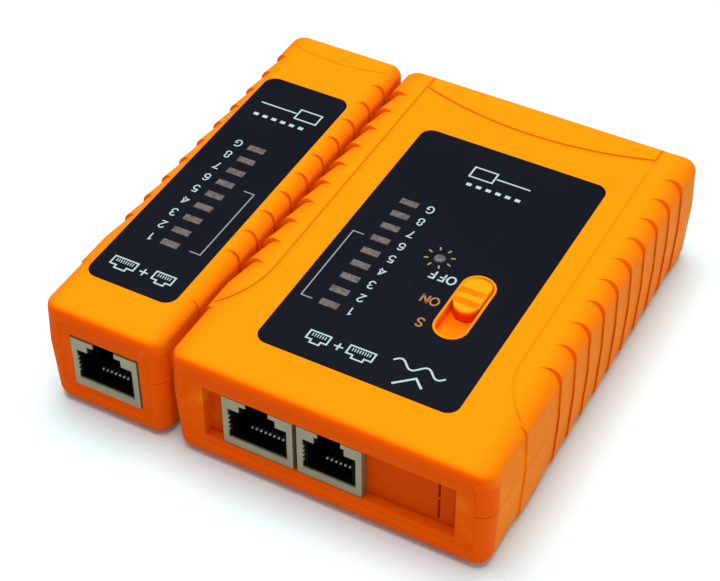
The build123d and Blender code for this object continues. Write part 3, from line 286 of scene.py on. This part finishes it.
def lens(name, pale, dark, grain=1900.0):
    """Cloudy epoxy of an unlit lamp, seen over its grainy phosphor."""
    look = Look(name)
    speck = look.ramp(look.noise(grain, 4.0, 0.75), 0.36, 0.64)
    greenish = look.join("MULTIPLY", look.ramp(look.noise(620.0, 2.0), 0.4, 0.6), 0.35)
    look.set("Base Color", look.mix(greenish, look.mix(speck, dark, pale), (0.13, 0.17, 0.13)))
    look.set("Roughness", look.varied(500.0, 2.0, 0.3, 0.45))
    look.set("Normal", look.bump(look.noise(2600.0, 2.0), 0.25, 0.00005))
    look.set("Specular IOR Level", 0.4)
    return look.material


def metal(name, colour, rough, stretch=12.0, tarnish=0.35, metallic=1.0):
    """Plated sheet metal: directional rolling marks, faint tarnish and rubbed edges."""
    look = Look(name)
    mapping = look.add("ShaderNodeMapping")
    mapping.inputs["Scale"].default_value = (1.0, 1.0, stretch)
    look.link(look.coord, mapping.inputs["Vector"])
    grain = look.noise(1500.0, 3.0, 0.6, mapping.outputs[0])
    cloud = look.ramp(look.noise(420.0, 4.0), 0.35, 0.7, 0.0, tarnish)
    edge = look.ramp(look.pointiness(), 0.53, 0.62, 0.0, 0.6)
    base = look.mix(cloud, colour, tint(colour, 0.6))
    look.set("Base Color", look.mix(edge, base, tint(colour, 1.2)))
    look.set("Metallic", metallic)
    look.set("Roughness", look.ramp(grain, 0.3, 0.7, rough - 0.08, rough + 0.1))
    look.set("Normal", look.bump(grain, 0.12, 0.00003))
    return look.material


# Contact wires are bright between two heights in mm, each given from dull to bright: partly rubbed polish,
# partly a painted highlight.
RUBBED_GLINT_LOW_Z, RUBBED_GLINT_HIGH_Z = (8.88, 8.98), (9.3, 9.18)


def contact(name):
    """Plated spring wire: a bright band where a plug rubs it, partly polish and partly a painted highlight;
    near-black brown elsewhere as painted shade inside the socket.
    """
    look = Look(name)
    rubbed = look.join("MULTIPLY", look.span("Z", RUBBED_GLINT_HIGH_Z), look.span("Z", RUBBED_GLINT_LOW_Z))
    bright = look.mix(look.varied(2200.0, 3.0, 0.7, 1.0), (0.62, 0.60, 0.52), (0.95, 0.93, 0.86))
    # painted shade: near-black brown away from the bright band, which is partly a painted highlight
    look.set("Base Color", look.mix(rubbed, (0.022, 0.019, 0.013), bright))
    look.set("Metallic", 0.8)
    look.set("Roughness", look.varied(1500.0, 2.0, 0.35, 0.5))
    look.set("Normal", look.bump(look.noise(2600.0, 2.0), 0.1, 0.00002))
    return look.material


def fine_grained(name, colour, rough=0.55, grain=1800.0, specular=0.35):
    """Plain plastic, rubber, glass or coated board with a fine grain."""
    look = Look(name)
    look.set("Base Color", look.mix(look.varied(300.0, 3.0), colour, tint(colour, 1.6, 0.0006)))
    look.set("Roughness", look.varied(700.0, 2.0, rough - 0.07, rough + 0.07))
    look.set("Normal", look.bump(look.noise(grain, 2.0), 0.25, 0.00004))
    look.set("Specular IOR Level", specular)
    return look.material


MATERIALS = {
    "case_orange": moulded("case_orange", (0.955, 0.270, 0.003), (0.92, 0.215, 0.003), (0.94, 0.102, 0.001)),
    "plate_orange": moulded("plate_orange", (0.90, 0.20, 0.003), (0.80, 0.10, 0.001), (0.74, 0.072, 0.001)),
    "knob_orange": moulded(
        "knob_orange", (0.98, 0.33, 0.005), (0.92, 0.14, 0.002), (0.88, 0.045, 0.001), 0.36, KNOB_GROOVES
    ),
    "label_black": film("label_black", (0.0034, 0.0042, 0.0088)),
    "lamp_lens": lens("lamp_lens", (0.185, 0.125, 0.122), (0.036, 0.027, 0.030)),
    "power_lamp_lens": lens("power_lamp_lens", (0.10, 0.108, 0.118), (0.05, 0.056, 0.066), 900.0),
    "shield_metal": metal("shield_metal", (0.30, 0.262, 0.17), 0.48, 8.0, 0.3, 0.6),
    "contact_gold": contact("contact_gold"),
    # black plastic, made far darker than the other black parts as painted shade inside the sockets
    "insert_black": fine_grained("insert_black", (0.0012, 0.0012, 0.0012), 0.7, 1800.0, 0.04),
    "switch_black": fine_grained("switch_black", (0.012, 0.012, 0.012)),
    "board_green": fine_grained("board_green", (0.015, 0.12, 0.04), 0.4, 900.0),
    "battery_jacket": fine_grained("battery_jacket", (0.03, 0.032, 0.04), 0.35, 600.0),
    "terminal_metal": metal("terminal_metal", (0.72, 0.71, 0.68), 0.3),
    "connector_black": fine_grained("connector_black", (0.012, 0.012, 0.012)),
    "lead_red": fine_grained("lead_red", (0.45, 0.02, 0.012), 0.45),
    "lead_black": fine_grained("lead_black", (0.01, 0.01, 0.01), 0.45),
    "chip_black": fine_grained("chip_black", (0.012, 0.012, 0.013), 0.6),
    "component_grey": fine_grained("component_grey", (0.03, 0.03, 0.032)),
    "component_tan": fine_grained("component_tan", (0.28, 0.17, 0.08)),
    "diode_glass": fine_grained("diode_glass", (0.25, 0.06, 0.02), 0.3),
    "screw_steel": metal("screw_steel", (0.52, 0.51, 0.48), 0.38),
}
INK_WHITE = ink("ink_white", (0.43, 0.555, 0.58))
INK_FAINT = ink("ink_faint", (0.26, 0.31, 0.33))
INK_ORANGE = ink("ink_orange", (0.42, 0.17, 0.045))
INK_YELLOW = ink("ink_yellow", (0.36, 0.25, 0.09))

for entry in frame["record"]["subparts"]:
    shown = NODES[entry["node"]]
    shown.data.materials.clear()
    shown.data.materials.append(MATERIALS[entry["material_slot"]])


# ------------------------------------------------------------------ prints on the labels
PRINT_RISE = 0.02      # mm above the label
LABEL_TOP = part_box("main_label")[1].z / MM


def stroke(points, width, closed=False):
    """One mitred line through 2-D points in mm: its left and right sides, and whether it closes."""
    spots = [Vector(point) for point in points]
    count = len(spots)
    sides = []
    for k, spot in enumerate(spots):
        before = spots[k - 1] if (k or closed) else None
        after = spots[(k + 1) % count] if (k < count - 1 or closed) else None
        into = (spot - before).normalized() if before is not None else (after - spot).normalized()
        out = (after - spot).normalized() if after is not None else into
        mitre = (into + out).normalized()
        normal = Vector((-mitre.y, mitre.x))
        reach = width / 2 / max(0.5, normal.dot(Vector((-into.y, into.x))))
        sides.append((spot + normal * reach, spot - normal * reach))
    return [(sides, closed)]


def ribbon_mesh(name, strokes, low, high):
    """Closed mesh that gives every line a flat top, a bottom and walls."""
    mesh = bpy.data.meshes.new(name)
    work = bmesh.new()
    for sides, closed in strokes:
        rings = []
        for left, right in sides:
            corners = ((left, low), (right, low), (right, high), (left, high))
            rings.append([work.verts.new((p.x * MM, p.y * MM, z * MM)) for p, z in corners])
        count = len(rings)
        for k in range(count if closed else count - 1):
            here, there = rings[k], rings[(k + 1) % count]
            for m in range(4):
                work.faces.new((here[m], here[(m + 1) % 4], there[(m + 1) % 4], there[m]))
        if not closed:
            work.faces.new(rings[0])
            work.faces.new(list(reversed(rings[-1])))
    bmesh.ops.recalc_face_normals(work, faces=work.faces)
    work.to_mesh(mesh)
    work.free()
    return mesh


def printed(name, strokes, body, material):
    """A print of the given lines on one unit's label."""
    item = bpy.data.objects.new(name, ribbon_mesh(name, strokes, LABEL_TOP, LABEL_TOP + PRINT_RISE))
    bpy.context.scene.collection.objects.link(item)
    item.data.materials.append(material)
    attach(item, body)


def eased(points, steps=4):
    """Points along a smooth (Catmull-Rom) curve through the given ones."""
    spots = [Vector(point) for point in (points[0], *points, points[-1])]
    curve = []
    for k in range(1, len(spots) - 2):
        a, b, c, d = spots[k - 1:k + 3]
        for m in range(steps):
            t = m / steps
            curve.append(tuple(0.5 * (
                2 * b + (c - a) * t + (2 * a - 5 * b + 4 * c - d) * t * t + (3 * b - a - 3 * c + d) * t ** 3
            )))
    curve.append(tuple(spots[-1]))
    return curve


def oval(x, y, wide, tall, first=0.0, last=360.0, count=20):
    """Points along an ellipse, in degrees from +X."""
    angles = [math.radians(first + (last - first) * k / count) for k in range(count + 1)]
    return [(x + wide * math.cos(a), y + tall * math.sin(a)) for a in angles]


# Each mark is drawn in a unit-high box: its open lines, then its closed ones.
GLYPHS = {
    "1": ([[(-0.17, 0.28), (0.06, 0.46), (0.06, -0.5)]], []),
    "2": ([
        eased([(-0.26, 0.25), (-0.19, 0.42), (0.0, 0.5), (0.18, 0.43), (0.25, 0.24), (0.12, 0.0)])
        + [(-0.27, -0.46), (0.29, -0.46)],
    ], []),
    "3": ([
        eased([(-0.27, 0.34), (-0.12, 0.48), (0.08, 0.48), (0.23, 0.34), (0.2, 0.14), (-0.07, 0.04)]),
        eased([(-0.07, 0.04), (0.2, -0.03), (0.27, -0.22), (0.17, -0.43), (-0.05, -0.5), (-0.29, -0.34)]),
    ], []),
    "4": ([[(0.15, -0.5), (0.15, 0.5)], [(0.12, 0.44), (-0.32, -0.22), (0.33, -0.22)]], []),
    "5": ([
        [(0.25, 0.46), (-0.19, 0.46), (-0.25, 0.03)],
        eased([
            (-0.25, 0.03), (-0.03, 0.12), (0.2, 0.04), (0.28, -0.17), (0.17, -0.42), (-0.06, -0.5),
            (-0.29, -0.34),
        ]),
    ], []),
    "6": (
        [eased([(0.24, 0.34), (0.1, 0.48), (-0.1, 0.45), (-0.24, 0.24), (-0.28, -0.05), (-0.27, -0.2)])],
        [oval(0.0, -0.2, 0.27, 0.28)[:-1]],
    ),
    "7": ([[(-0.29, 0.46), (0.28, 0.46)] + eased([(0.28, 0.46), (0.05, 0.1), (-0.09, -0.5)])[1:]], []),
    "8": ([], [oval(0.0, 0.25, 0.22, 0.23)[:-1], oval(0.0, -0.23, 0.27, 0.27)[:-1]]),
    "G": ([oval(0.0, 0.0, 0.36, 0.48, 45.0, 318.0) + [(0.33, -0.05), (0.04, -0.05)]], []),
    "O": ([], [oval(0.0, 0.0, 0.38, 0.48)[:-1]]),
    "F": ([[(-0.24, -0.5), (-0.24, 0.46), (0.28, 0.46)], [(-0.24, 0.02), (0.2, 0.02)]], []),
    "N": ([[(-0.3, -0.5), (-0.3, 0.5)], [(-0.3, 0.44), (0.3, -0.44)], [(0.3, -0.5), (0.3, 0.5)]], []),
    "S": ([
        eased([
            (0.26, 0.33), (0.12, 0.48), (-0.12, 0.48), (-0.27, 0.31), (-0.2, 0.11), (0.0, 0.02),
            (0.2, -0.08), (0.28, -0.28), (0.13, -0.48), (-0.12, -0.49), (-0.3, -0.32),
        ]),
    ], []),
}
LETTER_ADVANCE = 0.92   # from one mark to the next, in heights


def lettering(words, x, y, cap, weight):
    """Lines of a row of marks centred on a point, read from the far end."""
    strokes = []
    for k, letter in enumerate(words):
        shift = (k - (len(words) - 1) / 2) * LETTER_ADVANCE * cap
        for closed, group in enumerate(GLYPHS[letter]):
            for line in group:
                placed = [(x - (px * cap + shift), y - py * cap) for px, py in line]
                strokes += stroke(placed, weight, bool(closed))
    return strokes


# numbers beside the lamps
NUMBER_HIGH, NUMBER_LINE = 2.2, 0.31
for side, unit, x in (("main", MAIN, 6.25), ("remote", REMOTE, -41.35)):
    for k, mark in enumerate("12345678G", 1):
        low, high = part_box(f"{side}_lamp_{k}")
        lines = lettering(mark, x, (low.y + high.y) / 2 / MM, NUMBER_HIGH, NUMBER_LINE)
        printed(unit + "_mark_" + mark, lines, unit, INK_WHITE)


# brackets over the lamps 1 to 6
BRACKET_LINE, BRACKET_FAR = 0.27, 48.9


def bracket(ends_x, back_x, near):
    """Square bracket from one distance behind the socket face to BRACKET_FAR."""
    near_y, far_y = at(near), at(BRACKET_FAR)
    return stroke([(ends_x, near_y), (back_x, near_y), (back_x, far_y), (ends_x, far_y)], BRACKET_LINE)


printed("main_bracket", bracket(-2.45, -5.0, 26.9), MAIN, INK_FAINT)
printed("remote_bracket", bracket(-31.75, -29.2, 27.1), REMOTE, INK_FAINT)

# rays around the power lamp
POWER_X, POWER_Y = 14.8, at(49.9)
RAY_COUNT, RAY_INNER, RAY_OUTER, RAY_LINE = 8, 2.35, 3.3, 0.38
rays = []
for k in range(RAY_COUNT):
    angle = 2 * math.pi * (k + 0.5) / RAY_COUNT
    across, along = math.cos(angle), math.sin(angle)
    ends = [(POWER_X + reach * across, POWER_Y + reach * along) for reach in (RAY_INNER, RAY_OUTER)]
    rays += stroke(ends, RAY_LINE)
printed("power_rays", rays, MAIN, INK_YELLOW)

# positions of the switch
LEGEND_HIGH, LEGEND_LINE = 2.3, 0.40
for name, words, x, distance, colour in (
    ("legend_off", "OFF", 17.9, 44.8, INK_WHITE),
    ("legend_on", "ON", 18.7, 37.7, INK_ORANGE),
    ("legend_s", "S", 19.8, 31.1, INK_ORANGE),
):
    printed(name, lettering(words, x, at(distance), LEGEND_HIGH, LEGEND_LINE), MAIN, colour)


# signs of the sockets
SIGN_LINE, SIGN_HIGH, SIGN_NARROW = 0.36, 3.2, 0.45
SIGN_8_WIDE, SIGN_6_WIDE = 5.6, 4.6
TICK_LINE, TICK_START, TICK_END, TICK_MARGIN = 0.2, 0.45, 1.35, 1.2


def socket_sign(x, y, width, contacts):
    """Modular socket upright from the far end: outline, latch notch and contacts."""
    half, tall = width / 2, SIGN_HIGH / 2
    notch, shoulder = half * SIGN_NARROW, tall * SIGN_NARROW
    shape = [
        (-half, -tall),
        (half, -tall),
        (half, shoulder),
        (notch, shoulder),
        (notch, tall),
        (-notch, tall),
        (-notch, shoulder),
        (-half, shoulder),
    ]
    strokes = stroke([(x - px, y - py) for px, py in shape], SIGN_LINE, True)
    pitch = (width - TICK_MARGIN) / contacts
    for k in range(contacts):
        px = x + (k - (contacts - 1) / 2) * pitch
        strokes += stroke([(px, y + tall - TICK_START), (px, y + tall - TICK_END)], TICK_LINE)
    return strokes


def plus_sign(x, y, reach):
    """Plus of three lines that meet without overlapping."""
    half = SIGN_LINE / 2
    strokes = stroke([(x, y - reach), (x, y + reach)], SIGN_LINE)
    strokes += stroke([(x - reach, y), (x - half, y)], SIGN_LINE)
    return strokes + stroke([(x + half, y), (x + reach, y)], SIGN_LINE)


def socket_signs(x_8, x_plus, x_6, y):
    """An 8-way socket plus a 6-way one."""
    signs = socket_sign(x_8, y, SIGN_8_WIDE, 8) + socket_sign(x_6, y, SIGN_6_WIDE, 6)
    return signs + plus_sign(x_plus, y, 1.0)


printed("main_socket_signs", socket_signs(13.7, 8.9, 4.2, at(17.4)), MAIN, INK_WHITE)
printed("remote_socket_signs", socket_signs(-41.6, -36.6, -32.0, at(17.2)), REMOTE, INK_WHITE)

# a cable that has been checked: two waves and a tick
WAVE_LEFT, WAVE_RIGHT, WAVE_Y, WAVE_HIGH = 20.0, 31.4, at(19.4), 1.0
WAVE_COUNT, WAVE_STEPS, WAVE_LINE, CHECK_LINE = 2, 28, 0.42, 0.5
wave = []
for k in range(WAVE_STEPS + 1):
    share = k / WAVE_STEPS
    lift = WAVE_HIGH * math.sin(2 * math.pi * WAVE_COUNT * share)
    wave.append((WAVE_LEFT + (WAVE_RIGHT - WAVE_LEFT) * share, WAVE_Y + lift))
check = stroke([(28.4, at(14.9)), (26.3, at(16.9)), (22.6, at(13.6))], CHECK_LINE)
printed("cable_check_sign", stroke(wave, WAVE_LINE) + check, MAIN, INK_WHITE)


# signs of the two units
BOX_WIDE, BOX_HALF = 5.4, 1.7
UNIT_LINE, DOT_LINE = 0.38, 0.9
DOT_COUNT, DOT_PITCH, DOT_LONG, DOTS_DOWN = 6, 2.3, 1.2, 4.3


def unit_sign(box_left, link_left, link_right, dots_left, distance):
    """A box with a link, over a row of dots like the lamps."""
    box_right = box_left + BOX_WIDE
    low, middle, high = at(distance - BOX_HALF), at(distance), at(distance + BOX_HALF)
    corners = [(box_left, high), (box_right, high), (box_right, low), (box_left, low)]
    strokes = stroke(corners, UNIT_LINE, True)
    strokes += stroke([(link_left, middle), (link_right, middle)], UNIT_LINE)
    y = at(distance - DOTS_DOWN)
    for k in range(DOT_COUNT):
        left = dots_left + k * DOT_PITCH
        strokes += stroke([(left, y), (left + DOT_LONG, y)], DOT_LINE)
    return strokes


printed("main_unit_sign", unit_sign(8.6, 14.4, 22.4, 9.2, 78.2), MAIN, INK_WHITE)
printed("remote_unit_sign", unit_sign(-34.9, -44.4, -35.3, -43.9, 77.7), REMOTE, INK_WHITE)


# ------------------------------------------------------------------ studio
FLOOR_HALF, FLOOR_CELLS = 1.6, 8
FLOOR_DROP = 0.0001    # keeps the floor from sharing a plane with the underside
FILL_TARGET = (0.0, 0.0, 0.01)


def floor_mesh():
    """Square sheet around the origin."""
    mesh = bpy.data.meshes.new("studio_floor")
    work = bmesh.new()
    bmesh.ops.create_grid(work, x_segments=FLOOR_CELLS, y_segments=FLOOR_CELLS, size=FLOOR_HALF)
    work.to_mesh(mesh)
    work.free()
    return mesh


def floor_paint():
    """Matt pale paint, a little uneven. Cooler than white, against the warm light off the orange case."""
    look = Look("studio_floor")
    look.set("Base Color", look.mix(look.noise(6.0), (0.75, 0.875, 0.89), (0.765, 0.89, 0.905)))
    look.set("Roughness", 0.85)
    look.set("Specular IOR Level", 0.1)
    return look.material


floor = bpy.data.objects.new("studio_floor", floor_mesh())
bpy.context.scene.collection.objects.link(floor)
floor.data.materials.append(floor_paint())
floor.location.z = -FLOOR_DROP


def area_light(name, place, target, size, power, colour=(1.0, 1.0, 1.0)):
    """Round soft light at one place, turned towards another."""
    data = bpy.data.lights.new(name, "AREA")
    data.shape = "DISK"
    data.size = size
    data.energy = power
    data.color = colour
    item = bpy.data.objects.new(name, data)
    item.location = place
    item.rotation_euler = (Vector(target) - Vector(place)).to_track_quat("-Z", "Y").to_euler()
    bpy.context.scene.collection.objects.link(item)


area_light("key", (-0.08, 0.07, 0.95), (0.0, 0.0, 0.0), 0.8, 10.6)
area_light("fill_front", (0.42, -0.42, 0.20), FILL_TARGET, 0.3, 0.34, (1.0, 0.86, 0.72))
area_light("fill_right", (0.95, 0.10, 0.40), FILL_TARGET, 0.6, 0.9, (1.0, 0.93, 0.85))
world = bpy.data.worlds.new("studio_world")
world.use_nodes = True
background = world.node_tree.nodes["Background"]
background.inputs["Color"].default_value = (0.93, 0.98, 1.0, 1.0)
background.inputs["Strength"].default_value = 0.34
bpy.context.scene.world = world

# ------------------------------------------------------------------ camera
CAMERA_PLACE = (0.13327, -0.25540, 0.28176)
CAMERA_TURN = 28.5425    # degrees round Z, from looking along +Y towards -X
CAMERA_DOWN = 43.4712    # degrees below level
CAMERA_ROLL = -0.1306    # degrees
CAMERA_LENS, CAMERA_SENSOR = 91.33, 36.0   # mm

camera_data = bpy.data.cameras.new("camera")
camera_data.lens = CAMERA_LENS
camera_data.sensor_width = CAMERA_SENSOR
camera_data.clip_start = 0.01
camera = bpy.data.objects.new("camera", camera_data)
aim = Matrix.Rotation(math.radians(CAMERA_TURN), 4, "Z")
aim = aim @ Matrix.Rotation(math.radians(90.0 - CAMERA_DOWN), 4, "X")
aim = aim @ Matrix.Rotation(math.radians(CAMERA_ROLL), 4, "Z")
camera.matrix_world = Matrix.Translation(CAMERA_PLACE) @ aim
bpy.context.scene.collection.objects.link(camera)
bpy.context.scene.camera = camera
bpy.context.scene.view_settings.view_transform = "Standard"
